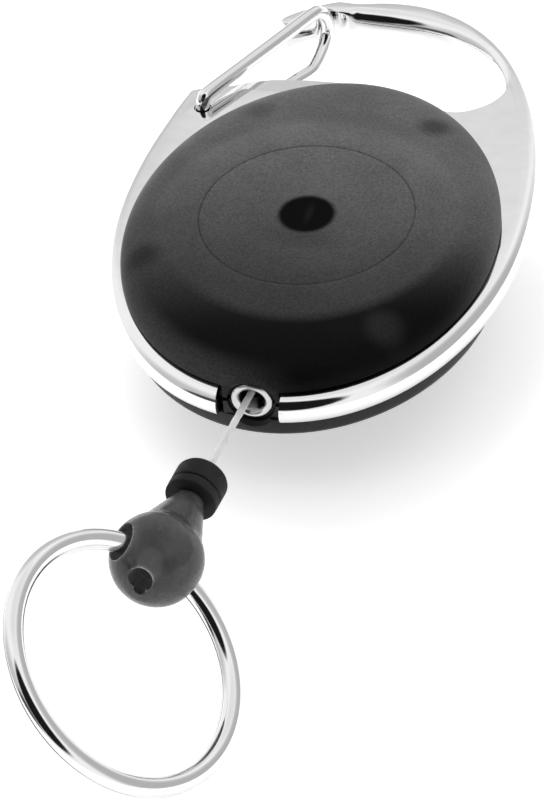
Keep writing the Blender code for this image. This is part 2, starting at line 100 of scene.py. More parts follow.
# Ring: its wire's width and the thickness of both turns, and how it hangs in the bell's hole.
RING_MEAN_R, RING_W, RING_T = 11.5, 1.9, 2.1
RING_DROP, RING_LEAN = 11.15, 0.2
RING_HANG = Vector((0.018, -0.993, -0.117))
RING_NORMAL = Vector((0.686, -0.091, 0.722)).normalized()

CORD_DIR = Vector((-math.sin(CORD_YAW), -math.cos(CORD_YAW), 0.0))
EYELET_AT = Vector((MOUTH_X, MOUTH_Y, MID_Z))
EXIT = Vector((EXIT_X, MOUTH_Y, MID_Z))
UP = Vector((0.0, 0.0, 1.0))


def along_cord(s):
    return EXIT + CORD_DIR * s


HOLE_AT = along_cord(RING_S)
BELL_AT = along_cord(BELL_S)
HANG = (RING_HANG - RING_NORMAL * RING_HANG.dot(RING_NORMAL)).normalized()
HOLE = RING_NORMAL.cross(HANG)
RING_AT = HOLE_AT + HANG * RING_DROP + RING_NORMAL * RING_LEAN


def smooth_curve(points, steps):
    """A Catmull-Rom curve through the points, with steps samples on each stretch."""
    route = [Vector(p) for p in points]
    route = [2 * route[0] - route[1], *route, 2 * route[-1] - route[-2]]
    samples = []
    for p0, p1, p2, p3 in zip(route, route[1:], route[2:], route[3:]):
        for k in range(steps):
            t = k / steps
            samples.append(
                0.5 * (2 * p1 + (p2 - p0) * t + (2 * p0 - 5 * p1 + 4 * p2 - p3) * t**2)
                + 0.5 * (3 * p1 - p0 - 3 * p2 + p3) * t**3
            )
    return samples + [route[-2]]


# ---------------------------------------------------------------- camera

camera_data = bpy.data.cameras.new("camera")
camera_data.lens = 202.5
camera_data.sensor_width = 36
camera_data.clip_start = 0.01
camera = bpy.data.objects.new("camera", camera_data)
bpy.context.scene.collection.objects.link(camera)
CAMERA_AT = Vector((0.0960, -0.3132, 0.2782))
CAMERA_RIGHT = Vector((0.9667, 0.2457, -0.0715))
CAMERA_UP = Vector((-0.112, 0.6575, 0.745))
CAMERA_BACK = Vector((0.23, -0.7122, 0.6632))
turned = Matrix((CAMERA_RIGHT, CAMERA_UP, CAMERA_BACK)).transposed().to_4x4()
camera.matrix_world = Matrix.Translation(CAMERA_AT) @ turned
bpy.context.scene.camera = camera

# ---------------------------------------------------------------- mesh helpers


def add_object(name, verts, faces):
    """A mesh object from points in millimetres, welded, with its normals outward."""
    mesh = bpy.data.meshes.new(name)
    mesh.from_pydata([tuple(Vector(v) * MM) for v in verts], [], faces)
    mesh.validate()
    obj = bpy.data.objects.new(name, mesh)
    bpy.context.scene.collection.objects.link(obj)
    bm = bmesh.new()
    bm.from_mesh(mesh)
    bmesh.ops.remove_doubles(bm, verts=bm.verts, dist=WELD * MM)
    bmesh.ops.recalc_face_normals(bm, faces=bm.faces)
    bm.to_mesh(mesh)
    bm.free()
    return obj


def smooth(obj, angle):
    """Smooth shading, with edges sharper than the angle in degrees left hard."""
    obj.data.shade_smooth()
    obj.data.set_sharp_from_angle(angle=math.radians(angle))
    return obj


def loft(name, rings, loop=False):
    """Joins point rings of one size. Both ends are capped, or with loop the last ring joins the first."""
    count = len(rings[0])
    verts = [p for ring in rings for p in ring]
    faces = []
    rows = len(rings)
    for i in range(rows if loop else rows - 1):
        a, b = i * count, (i + 1) % rows * count
        for j in range(count):
            k = (j + 1) % count
            faces.append((a + j, a + k, b + k, b + j))
    if not loop:
        faces.append(tuple(range(count)))
        faces.append(tuple(range((rows - 1) * count, rows * count)))
    return add_object(name, verts, faces)


def revolve(name, profile, segments, turn=None, at=(0, 0, 0)):
    """Turns a closed (radius, height) outline about Z, then places it."""
    rings = []
    for j in range(segments):
        a = math.tau * j / segments
        rings.append([(r * math.cos(a), r * math.sin(a), z) for r, z in profile])
    turn = turn or Matrix.Identity(3)
    placed = [[turn @ Vector(p) + Vector(at) for p in ring] for ring in rings]
    return loft(name, placed, loop=True)


def apply_modifiers(obj):
    """Puts the modified mesh in place of the object's own."""
    graph = bpy.context.evaluated_depsgraph_get()
    mesh = bpy.data.meshes.new_from_object(obj.evaluated_get(graph))
    obj.modifiers.clear()
    obj.data = mesh


def cut(obj, cutter, operation="DIFFERENCE"):
    """Applies a Boolean with the cutter, and removes the cutter."""
    step = obj.modifiers.new("cut", "BOOLEAN")
    step.operation = operation
    step.solver = "MANIFOLD"
    step.object = cutter
    apply_modifiers(obj)
    bpy.data.objects.remove(cutter, do_unlink=True)


def drop_slivers(obj):
    """Collapses the very short edges that cuts leave behind, so that no face has zero area."""
    bm = bmesh.new()
    bm.from_mesh(obj.data)
    bmesh.ops.dissolve_degenerate(bm, dist=SLIVER * MM, edges=bm.edges)
    bmesh.ops.triangulate(bm, faces=[face for face in bm.faces if len(face.verts) > 4])
    bmesh.ops.dissolve_degenerate(bm, dist=SLIVER * MM, edges=bm.edges)
    bm.to_mesh(obj.data)
    bm.free()
    return obj


def box(name, low, high):
    """A box between two opposite corners."""
    verts = []
    for x in (low[0], high[0]):
        for y in (low[1], high[1]):
            for z in (low[2], high[2]):
                verts.append((x, y, z))
    faces = [(0, 1, 3, 2), (4, 6, 7, 5), (0, 4, 5, 1), (2, 3, 7, 6), (0, 2, 6, 4), (1, 5, 7, 3)]
    return add_object(name, verts, faces)


def rounded_profile(points, radius, steps):
    """Rounds the corners of a closed (r, z) outline by arcs of up to this radius."""
    made = []
    count = len(points)
    for i in range(count):
        corner = Vector(points[i])
        before = Vector(points[i - 1]) - corner
        after = Vector(points[(i + 1) % count]) - corner
        reach = min(radius, before.length * 0.45, after.length * 0.45)
        start, end = corner + before.normalized() * reach, corner + after.normalized() * reach
        for k in range(steps + 1):
            t = k / steps
            made.append(tuple(start * (1 - t) ** 2 + corner * 2 * t * (1 - t) + end * t**2))
    return made


def sweep(name, path, section):
    """Sweeps section(i) = [(u, v), ...] along path; u lies across, v along the carried normal."""
    count = len(path)
    tangents = []
    for i in range(count):
        a = path[max(i - 1, 0)]
        b = path[min(i + 1, count - 1)]
        tangents.append((Vector(b) - Vector(a)).normalized())
    normal = UP - tangents[0] * UP.dot(tangents[0])
    starts_upright = normal.length < 0.2
    if starts_upright:
        normal = Vector((1, 0, 0))
        normal -= tangents[0] * normal.dot(tangents[0])
    normal.normalize()
    rings = []
    for i in range(count):
        normal = (normal - tangents[i] * normal.dot(tangents[i])).normalized()
        side = tangents[i].cross(normal)
        rings.append([Vector(path[i]) + side * u + normal * v for u, v in section(i)])
    return loft(name, rings)


def circle_section(radius, sides):
    """A round section for sweep."""
    points = [
        (radius * math.cos(math.tau * k / sides), radius * math.sin(math.tau * k / sides))
        for k in range(sides)
    ]
    return lambda i: points


# ---------------------------------------------------------------- materials


def grey(level):
    return (level, level, level)


class Look:
    """A Principled material with small helpers for its nodes. Texture space is object space, in mm."""

    def __init__(self, name, colour, roughness, metallic=0.0):
        self.material = bpy.data.materials.new(name)
        self.material.use_nodes = True
        self.nodes = self.material.node_tree.nodes
        self.links = self.material.node_tree.links
        self.shader = self.nodes["Principled BSDF"]
        self.set("Base Color", (*colour, 1.0))
        self.set("Roughness", roughness)
        self.set("Metallic", metallic)
        coords = self.nodes.new("ShaderNodeTexCoord")
        scaled = self.nodes.new("ShaderNodeVectorMath")
        scaled.operation = "SCALE"
        scaled.inputs["Scale"].default_value = 1000.0
        self.links.new(coords.outputs["Object"], scaled.inputs[0])
        self.mm = scaled.outputs[0]

    def set(self, socket, value):
        self.shader.inputs[socket].default_value = value

    def noise(self, scale, detail=3.0, rough=0.55, stretch=None):
        node = self.nodes.new("ShaderNodeTexNoise")
        node.inputs["Scale"].default_value = scale
        node.inputs["Detail"].default_value = detail
        node.inputs["Roughness"].default_value = rough
        source = self.mm
        if stretch:
            mapping = self.nodes.new("ShaderNodeVectorMath")
            mapping.operation = "MULTIPLY"
            mapping.inputs[1].default_value = stretch
            self.links.new(self.mm, mapping.inputs[0])
            source = mapping.outputs[0]
        self.links.new(source, node.inputs["Vector"])
        return node.outputs["Fac"]

    def ramp(self, value, stops):
        """A ramp of greys; stops are (position, level)."""
        node = self.nodes.new("ShaderNodeValToRGB")
        elements = node.color_ramp.elements
        while len(elements) > 1:
            elements.remove(elements[-1])
        for k, (position, level) in enumerate(stops):
            element = elements[0] if k == 0 else elements.new(position)
            element.position = position
            element.color = (*grey(level), 1.0)
        self.links.new(value, node.inputs["Fac"])
        return node.outputs["Color"]

    def math(self, operation, a, b=None):
        node = self.nodes.new("ShaderNodeMath")
        node.operation = operation
        for socket, value in zip(node.inputs, (a, b)):
            if value is None:
                continue
            if isinstance(value, (int, float)):
                socket.default_value = value
            else:
                self.links.new(value, socket)
        return node.outputs[0]

    def mix(self, factor, a, b, blend="MIX"):
        """Blends from a to b by factor. Each is a number, a colour or another node's output."""
        node = self.nodes.new("ShaderNodeMix")
        node.data_type = "RGBA"
        node.blend_type = blend
        sockets = (node.inputs["Factor"], node.inputs[6], node.inputs[7])
        for socket, value in zip(sockets, (factor, a, b)):
            if isinstance(value, (int, float)):
                socket.default_value = value
            elif isinstance(value, tuple):
                socket.default_value = (*value, 1.0)
            else:
                self.links.new(value, socket)
        return node.outputs[2]

    def distance(self, point, squash=(1.0, 1.0, 1.0)):
        """Distance in mm from a point, with each axis scaled by squash."""
        offset = self.nodes.new("ShaderNodeVectorMath")
        offset.operation = "SUBTRACT"
        offset.inputs[1].default_value = point
        self.links.new(self.mm, offset.inputs[0])
        scaled = self.nodes.new("ShaderNodeVectorMath")
        scaled.operation = "MULTIPLY"
        scaled.inputs[1].default_value = squash
        self.links.new(offset.outputs[0], scaled.inputs[0])
        length = self.nodes.new("ShaderNodeVectorMath")
        length.operation = "LENGTH"
        self.links.new(scaled.outputs[0], length.inputs[0])
        return length.outputs["Value"]

    def along(self, direction):
        """Position in mm along a direction."""
        node = self.nodes.new("ShaderNodeVectorMath")
        node.operation = "DOT_PRODUCT"
        node.inputs[1].default_value = direction
        self.links.new(self.mm, node.inputs[0])
        return node.outputs["Value"]

    def step(self, value, low, high, out_low=0.0, out_high=1.0):
        """A smooth change from out_low below low to out_high above high."""
        node = self.nodes.new("ShaderNodeMapRange")
        node.interpolation_type = "SMOOTHSTEP"
        node.inputs["From Min"].default_value = low
        node.inputs["From Max"].default_value = high
        node.inputs["To Min"].default_value = out_low
        node.inputs["To Max"].default_value = out_high
        self.links.new(value, node.inputs["Value"])
        return node.outputs["Result"]

    def to(self, socket, output):
        self.links.new(output, self.shader.inputs[socket])

    def bump(self, height, distance):
        """Adds a bump, its depth in mm, on top of those already there."""
        node = self.nodes.new("ShaderNodeBump")
        node.inputs["Strength"].default_value = 1.0
        node.inputs["Distance"].default_value = distance * MM
        self.links.new(height, node.inputs["Height"])
        previous = self.shader.inputs["Normal"].links
        if previous:
            self.links.new(previous[0].from_socket, node.inputs["Normal"])
        self.links.new(node.outputs["Normal"], self.shader.inputs["Normal"])


def chrome_look(name, level, rough, wave):
    """Plated metal: a slow wave in the casting, a fine grain, and handling wear in the gloss."""
    look = Look(name, (level, level, level * 1.005), rough, 1.0)
    cloud = look.noise(0.35, 3.0)
    look.to("Base Color", look.ramp(cloud, [(0.3, level * 0.97), (0.7, level)]))
    look.to("Roughness", look.step(look.noise(1.6, 4.0), 0.35, 0.75, rough, rough + 0.03))
    look.bump(look.noise(0.28, 2.0), wave * 1.6)
    look.bump(look.noise(7.0, 3.0), 0.0012)
    return look


def plastic_look(name, dark, light, rough, grain=0.004, grain_scale=6.0):
    """Moulded plastic, rubber or thread: cloudy between two colours, with a grain of this depth in mm."""
    look = Look(name, light, rough)
    cloud = look.noise(0.4, 3.0)
    look.to("Base Color", look.mix(look.step(cloud, 0.3, 0.7), dark, light))
    look.to("Roughness", look.step(look.noise(2.0, 3.0), 0.3, 0.7, rough - 0.04, rough + 0.05))
    look.bump(look.noise(grain_scale, 3.0, 0.65), grain)
    return look


chrome = chrome_look("chrome", 0.88, 0.07, 0.02)
gate_steel = chrome_look("gate_steel", 0.84, 0.07, 0.01)
ring_steel = chrome_look("ring_steel", 0.88, 0.08, 0.01)
eyelet_chrome = chrome_look("eyelet_chrome", 0.62, 0.2, 0.006)
acetal = plastic_look("black_acetal", (0.008, 0.008, 0.009), (0.014, 0.014, 0.015), 0.4)
reel_grey = plastic_look("reel_plastic", grey(0.085), grey(0.11), 0.42)
film = plastic_look("washer_film", (0.5, 0.5, 0.47), (0.62, 0.62, 0.58), 0.3)
blued = chrome_look("spring_steel", 0.3, 0.22, 0.012)
rubber = plastic_look("bumper_rubber", (0.009, 0.009, 0.0095), (0.019, 0.019, 0.0195), 0.62, 0.012, 3.0)
rubber.set("Specular IOR Level", 0.2)
white_cord = plastic_look("white_cord", (0.78, 0.78, 0.77), (0.9, 0.9, 0.89), 0.78, 0.02, 5.0)
white_cord.set("Sheen Weight", 0.3)


def cover_look(name):
    """Frosted smoke plastic. What lies behind it shows as soft changes of tone, and light and shade across
    it are painted in.
    """
    look = Look(name, grey(0.05), 0.5)
    flat = (1.0, 1.0, 0.0)

    def spot(tone, at, squash, near, far, strength, colour):
        """Fades the tone to a colour round a point, fully within near and not at all past far."""
        reach = look.distance((*at, 0.0), squash)
        return look.mix(look.step(reach, near, far, strength, 0.0), tone, colour)

    radial = look.distance((0.0, 0.0, 0.0), flat)
    cloud = look.noise(0.16, 3.0, 0.6)
    # Painted light and shade: the tone is lighter towards the hook's side and darker towards the outlet.
    painted_light_toward_hook = look.step(look.along((0.0, 1.0, 0.0)), -15.0, 15.0)
    tone = look.mix(painted_light_toward_hook, (0.052, 0.052, 0.0525), (0.16, 0.16, 0.161))
    tone = look.mix(look.step(cloud, 0.3, 0.7, 0.0, 0.22), tone, grey(0.03))
    tone = look.mix(look.step(radial, 14.0, 15.6, 0.0, 0.14), tone, (0.045, 0.045, 0.0455))

    # Painted shade darkens the shoulder most on the side of the cord outlet, and a painted highlight makes
    # its left rim a little lighter.
    shoulder = look.step(look.distance((0.3, 0.8, 0.0), (1.0, 0.93, 0.0)), 13.3, 14.9)
    lower = look.step(look.along((0.3, -0.954, 0.0)), 2.0, 15.0, 0.0, 0.95)
    tone = look.mix(look.math("MULTIPLY", shoulder, lower), tone, grey(0.003))
    painted_rim_light = look.step(look.distance((0.0, OVAL_Y, 0.0), (OVAL_B / OVAL_A, 1.0, 0.0)), 20.0, 22.4)
    left = look.step(look.along((-0.75, -0.66, 0.0)), 10.0, 17.0)
    tone = look.mix(look.math("MULTIPLY", painted_rim_light, left), tone, grey(0.05))

    # A paler patch low on the right, the four posts, the eyelet's collar, painted shade just below the
    # spindle, and the spindle with its slot.
    tone = spot(tone, (10.5, -13.5), flat, 0.6, 2.6, 0.5, grey(0.04))
    for at, far, strength in zip(POSTS, (2.4, 2.4, 2.4, 2.6), (0.6, 0.35, 0.6, 0.6)):
        tone = spot(tone, at, flat, 0.4, far, strength, grey(0.008))
    collar = look.distance(EYELET_AT)
    tone = look.mix(look.step(collar, 2.4, 3.3, 0.9, 0.0), tone, grey(0.034))
    # Painted shade: a darker spot just below the spindle.
    tone = spot(tone, (0.0, -3.2), (0.5, 1.0, 0.0), 0.3, 2.6, 0.35, grey(0.03))
    slot = look.distance((0.2, 0.2, 0.0), (2.2, 0.6, 0.0))
    core = look.mix(look.step(slot, 0.2, 1.3), grey(0.0075), grey(0.0012))
    tone = look.mix(look.step(radial, 2.35, 3.05, 1.0, 0.0), tone, core)

    # Painted shade in the groove round the flat middle, and the frosted grain.
    groove = look.math("ABSOLUTE", look.math("SUBTRACT", radial, FLAT_R))
    tone = look.mix(look.step(groove, 0.03, 0.13, 0.5, 0.0), tone, grey(0.02))
    grain = look.noise(4.6, 4.0, 0.8)
    speck = look.step(grain, 0.3, 0.7, 0.7, 1.3)
    look.to("Base Color", look.mix(1.0, tone, speck, "MULTIPLY"))
    look.set("Specular IOR Level", 0.03)
    look.to("Roughness", look.step(cloud, 0.3, 0.7, 0.36, 0.44))
    look.bump(grain, 0.014)
    return look


cover_smoke = cover_look("smoke_plastic")
rear_smoke = plastic_look(
    "smoke_plastic_rear", (0.006, 0.006, 0.0065), (0.011, 0.011, 0.0115), 0.42, 0.008, 5.0
)
rear_smoke.set("Specular IOR Level", 0.3)


def bell_look():
    """Smoke acrylic, with the knot chamber and the ring's tunnel showing through as softer tones and
    patches of painted light and shade, and a painted glow inside.
    """
    look = Look("bell_plastic", grey(0.1), 0.16)
    swirl = look.noise(0.45, 4.0, 0.6, (1.0, 0.45, 1.0))
    tone = look.mix(look.step(swirl, 0.3, 0.7), (0.042, 0.042, 0.044), (0.085, 0.085, 0.088))
    dust = look.step(look.noise(6.0, 3.0, 0.7), 0.35, 0.7, 0.0, 0.25)
    tone = look.mix(dust, tone, (0.12, 0.12, 0.123))

    # The tunnel's wall shows through as a patch of painted light, with a patch of painted shade beside it.
    painted_light_at = BELL_AT + Vector((0.55, -3.3, 2.6))
    painted_shade_at = painted_light_at + Vector((1.9, 0.2, -0.1))
    painted_light_patch = look.step(look.distance(painted_light_at, (1.0, 0.8, 0.8)), 0.9, 1.45, 0.75, 0.0)
    tone = look.mix(painted_light_patch, tone, (0.15, 0.15, 0.153))
    dark = look.step(look.distance(painted_shade_at), 0.4, 1.4, 0.6, 0.0)
    tone = look.mix(dark, tone, (0.025, 0.025, 0.026))
    look.to("Base Color", tone)

    # A faint painted glow on the inner walls, clear of the neck, stands in for light that has passed
    # through the ball.
    inside = look.step(look.distance(BELL_AT), 3.2, 4.1, 1.0, 0.0)
    centre_s = BELL_AT.dot(CORD_DIR)
    neck = look.step(look.along(CORD_DIR), centre_s - 3.2, centre_s - 2.6)
    look.set("Emission Color", (0.016, 0.016, 0.0165, 1.0))
    look.to("Emission Strength", look.math("MULTIPLY", inside, neck))
    look.to("Roughness", look.step(look.noise(1.2, 4.0), 0.35, 0.7, 0.14, 0.3))
    look.set("Specular IOR Level", 0.3)
    look.set("Subsurface Weight", 0.6)
    look.set("Subsurface Radius", (1.0, 1.0, 1.0))
    look.set("Subsurface Scale", 0.002)
    look.bump(look.noise(0.9, 3.0), 0.02)
    return look


bell_smoke = bell_look()


def dress(obj, look):
    """Gives a piece its material, as the mesh's only slot."""
    obj.data.materials.clear()
    obj.data.materials.append(look.material)


def place(obj, look, body, node):
    """Dresses a piece, rides it on a body, and puts it in place of a CAD node."""
    dress(obj, look)
    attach(obj, body)
    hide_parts(node)


def dress_node(name, look):
    """Gives a CAD node its material, on the object, so that its mesh stays as it is."""
    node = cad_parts[name]
    for index in range(len(node.material_slots)):
        node.material_slots[index].link = "OBJECT"
        node.material_slots[index].material = look.material


# ---------------------------------------------------------------- the cord


def build_cord():
    """The braided cord from the winding to the knot in the bell, as a tube with plaited strands."""
    in_casing = [(-8.7, -9.0), (-6.3, -11.5), (-3.8, -14.1), (-1.9, -16.2), (-0.85, -17.8), (-0.74, -19.2)]
    route = [(x, y, MID_Z) for x, y in in_casing]
    route += [tuple(along_cord(s)) for s in (0, 3, 6, 9, 12, 15, KNOT_S - 1.0)]
    path = smooth_curve(route, 22)
    sides, strands, twist, ridge = 32, 4, 1.15, 0.05
    lengths = [0.0]
    for a, b in zip(path, path[1:]):
        lengths.append(lengths[-1] + (b - a).length)

    def section(i):
        s = lengths[i]
        points = []
        for k in range(sides):
            a = math.tau * k / sides
            right = math.sin(strands * (a + s * twist))
            left = math.sin(strands * (a - s * twist))
            over = math.sin(2 * s * twist * strands)
            lift = max(right, left) * 0.5 + 0.12 * over * (right - left)
            r = CORD_R - ridge + ridge * lift
            points.append((r * math.cos(a), r * math.sin(a)))
        return points

    cord = smooth(sweep("cord_braid", path, section), 80)
    dress(cord, white_cord)
    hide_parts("cord")
    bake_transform(cord)
    return cord, path, lengths[-1]


cord_piece, cord_path, cord_length = build_cord()

# ---------------------------------------------------------------- the frame


def frame_ellipse(t):
    """The frame's outer edge at angle t: a half ellipse each for the hook's side and the outlet's side."""
    reach = FRAME_TOP if math.sin(t) > 0 else FRAME_BOTTOM
    across = math.copysign(abs(math.cos(t)) ** FRAME_FULL, math.cos(t))
    return (FRAME_A * across, FRAME_Y + reach * math.sin(t))


def oval(inset, count):
    """The casing's outline, this far inside its edge."""
    points = []
    for k in range(count):
        t = math.tau * k / count
        scale = 1 - OVAL_PULL * math.sin(2 * t) ** 2
        x = (OVAL_A - inset) * math.cos(t) * scale * (1 - OVAL_TAPER * math.sin(t))
        points.append((x, (OVAL_B - inset) * math.sin(t) * scale + OVAL_Y))
    return points


def blend_table(x, table):
    """The value at x on straight lines between the table's (x, value) points."""
    xs, ys = zip(*table)
    return float(np.interp(x, xs, ys))


def frame_outline():
    """The frame's outline, counterclockwise, as (x, y, rounding across, rounding along z)."""
    end_x, end_round = FRAME_END_X, 0.2
    gap_t = math.acos((end_x / FRAME_A) ** (1 / FRAME_FULL))
    hook_deg, shoulder_deg = 103, 151.5

    # The right side, from the outlet up to the hook's beak.
    across = [(-90, 1.5), (-20, 1.3), (20, 1.15), (40, 1.0), (50, 0.95), (58, 1.05), (75, 1.4)]
    across += [(100, 1.5), (hook_deg, 1.1)]
    outline = []
    for t in np.linspace(-gap_t, math.radians(hook_deg), 150):
        outline.append((*frame_ellipse(t), blend_table(math.degrees(t), across), 1.4))
    outline[0] = (*outline[0][:2], end_round, end_round)

    # The beak, and the notch in it where the gate wire rests.
    beak = [
        (-4.8, 38.5, 0), (-7.2, 37.6, 0), (-9.5, 36.1, 0), (-11.0, 34.8, 0), (-11.35, 34.2, 0),
        (-11.2, 33.7, 0), (-10.7, 33.4, 0), (-9.3, 34.3, 0), (-8.0, 35.15, 0),
    ]  # fmt: skip
    beak_tip_y = 34.0
    for p in smooth_curve(beak, 5)[3:]:
        rounding = 0.3 if p.y > beak_tip_y else 0.1
        outline.append((p.x, p.y, rounding, rounding))
    notch = [(-7.8, 35.7, 0), (-7.35, 36.3, 0), (-6.7, 36.45, 0), (-5.9, 36.2, 0)]
    outline += [(p.x, p.y, end_round, end_round) for p in smooth_curve(notch, 5)]

    # The inside of the hook and the top of the shoulder.
    hook_inside = [
        (-5.0, 36.05, 0), (-3.5, 36.0, 0), (0.0, 35.9, 0), (3.2, 35.5, 0), (6.7, 34.4, 0), (9.9, 32.3, 0),
        (12.0, 29.6, 0), (12.9, 26.9, 0), (12.5, 24.9, 0), (11.2, 23.3, 0), (9.5, 22.4, 0),
        (7.7, 22.4, 0), (5.6, 23.2, 0), (2.8, 24.4, 0), (0.0, 25.0, 0), (-4.5, 25.0, 0),
        (-9.0, 24.6, 0), (-11.3, 24.0, 0), (-13.6, 22.9, 0), (-15.8, 22.3, 0), (-17.3, 21.6, 0),
    ]  # fmt: skip
    steps = 6
    across = [(0, 0.4), (0.7, 1.3), (2, 1.4), (4, 1.1), (5, 0.85), (6, 0.8), (7, 0.9), (8, 0.6), (9, 0.3)]
    tall = [(0, 0.4), (0.7, 1.35), (2, 1.45), (4, 1.3), (6, 1.25), (7, 1.1), (8, 0.6), (9, 0.3)]
    for k, p in enumerate(smooth_curve(hook_inside, steps)):
        outline.append((p.x, p.y, blend_table(k / steps, across), blend_table(k / steps, tall)))

    # The left side, from the shoulder down to the outlet, then back along the casing's edge.
    across = [(shoulder_deg, 0.5), (160, 0.9), (200, 1.3), (270, 1.5)]
    tall = [(shoulder_deg, 0.5), (162, 1.1), (200, 1.4)]
    for t in np.linspace(math.radians(shoulder_deg), math.pi + gap_t, 90):
        degrees = math.degrees(t)
        outline.append((*frame_ellipse(t), blend_table(degrees, across), blend_table(degrees, tall)))
    outline[-1] = (*outline[-1][:2], end_round, end_round)
    inside = [(x, y) for x, y in oval(LIP, 120) if y > 0 or abs(x) > end_x + 0.2]
    inside.sort(key=lambda p: (math.atan2(p[0], OVAL_Y - p[1]) + math.tau) % math.tau, reverse=True)
    end_y = inside[0][1] - 0.06
    inside = [(-end_x, end_y), *inside, (end_x, end_y)]
    return outline + [(x, y, end_round, end_round) for x, y in inside]


def rounded_plate(name, outline, half):
    """A plate of this half thickness about MID_Z, its edges rounded by what the outline says."""
    points = [Vector(p[:2]) for p in outline]
    count = len(points)
    outward = []
    for i in range(count):
        before = (points[i] - points[i - 1]).normalized()
        after = (points[(i + 1) % count] - points[i]).normalized()
        along = (before + after).normalized()
        outward.append(Vector((along.y, -along.x)))
    steps = 8
    angles = [math.pi / 2 * k / steps for k in range(steps + 1)]
    rings = []
    for side in (-1, 1):
        for a in angles if side > 0 else reversed(angles):
            ring = []
            for point, normal, (_, _, flat, tall) in zip(points, outward, outline):
                at = point - normal * flat * (1 - math.cos(a))
                rise = half - tall * (1 - math.sin(a))
                ring.append((at.x, at.y, MID_Z + side * rise))
            rings.append(ring)
    return loft(name, rings)


def web_outline():
    """The web of the right side, between its rail and the casing, up to the hook's root."""
    count = 60
    edge = [frame_ellipse(math.radians(t)) for t in np.linspace(-32, 44, count)]
    region = []
    for k, (x, y) in enumerate(edge):
        rail = blend_table(k, [(0, 2.1), (30, 1.85), (count - 1, 1.75)])
        tangent = Vector(edge[min(k + 1, count - 1)]) - Vector(edge[max(k - 1, 0)])
        normal = Vector((tangent.y, -tangent.x)).normalized()
        region.append((x - normal.x * rail, y - normal.y * rail))
    region += [(11.9, 27.0), (9.0, 24.5), (5.0, 24.5)]
    hidden = [p for p in oval(2.6, 120) if p[0] > 4 and -13 < p[1] < 21]
    return region + sorted(hidden, key=lambda p: -math.atan2(p[1], p[0]))


def build_frame():
    half = FRAME_T / 2
    body = rounded_plate("frame_casting", frame_outline(), half)
    outlet_low = (MOUTH_X - GAP_X, -26, MID_Z - 2 * half)
    outlet_high = (MOUTH_X + GAP_X, -16, MID_Z + 2 * half)
    cut(body, box("outlet_gap", outlet_low, outlet_high))
    # The web of the right side lies a little below its rail, front and back.
    web = web_outline()
    for side in (-1, 1):
        heights = sorted((side * 1.32, side * 2.0))
        cut(body, loft("web_recess", [[(x, y, MID_Z + z) for x, y in web] for z in heights]))
    pivot_profile = [(0, -4), (0.86, -4), (0.86, 4), (0, 4)]
    cut(body, revolve("pivot_hole", pivot_profile, 32, at=(*GATE_PIVOT, MID_Z)))
    place(smooth(body, 38), chrome, "case", "carabiner_frame")


build_frame()


def build_gate():
    """One spring wire: up from its pivot, along the front leg, round the bend at the hook, and back."""
    pivot = Vector((*GATE_PIVOT, 0.0))
    leg_end = Vector((*GATE_END, 0.0))
    along = (leg_end - pivot).normalized()
    side = Vector((along.y, -along.x, 0.0))
    front = [(0.0, 0.3), (0.0, 1.35), (0.25, 2.4), (1.2, GATE_LEG_Z), (6.0, GATE_LEG_Z), (12.0, GATE_LEG_Z)]
    route = [pivot + along * reach + UP * z for reach, z in front]
    bend_reach = 2.2
    for degrees in (90, 65, 40, 20, 0, -20, -40, -65, -90):
        a = math.radians(degrees)
        bow = 0.5 * (1 - math.cos(2 * a)) if a < 0 else 0.0
        back = 1.9 * math.sin(a) ** 2 if a < 0 else 0.0
        reach = bend_reach * math.cos(a) - back
        route.append(leg_end + along * reach + UP * GATE_LEG_Z * math.sin(a) + side * bow)
    for (reach, z), bow in zip(reversed(front), (0.75, 0.3, 0.0, 0.0, 0.0, 0.0)):
        route.append(pivot + along * reach - UP * z + side * bow)
    path = [Vector((0.0, 0.0, MID_Z)) + p for p in smooth_curve(route, 12)]
    wire = sweep("gate_spring_wire", path, circle_section(WIRE_R, 28))
    place(smooth(wire, 50), gate_steel, "gate", "gate_wire")


build_gate()

# ---------------------------------------------------------------- the casing


def between(inset, radius, share, z, count):
    """A ring of points between the oval, at share 0, and a circle, at share 1."""
    ring = []
    for k, (x, y) in enumerate(oval(inset, count)):
        t = math.tau * k / count
        ring.append((x + share * (radius * math.cos(t) - x), y + share * (radius * math.sin(t) - y), z))
    return ring


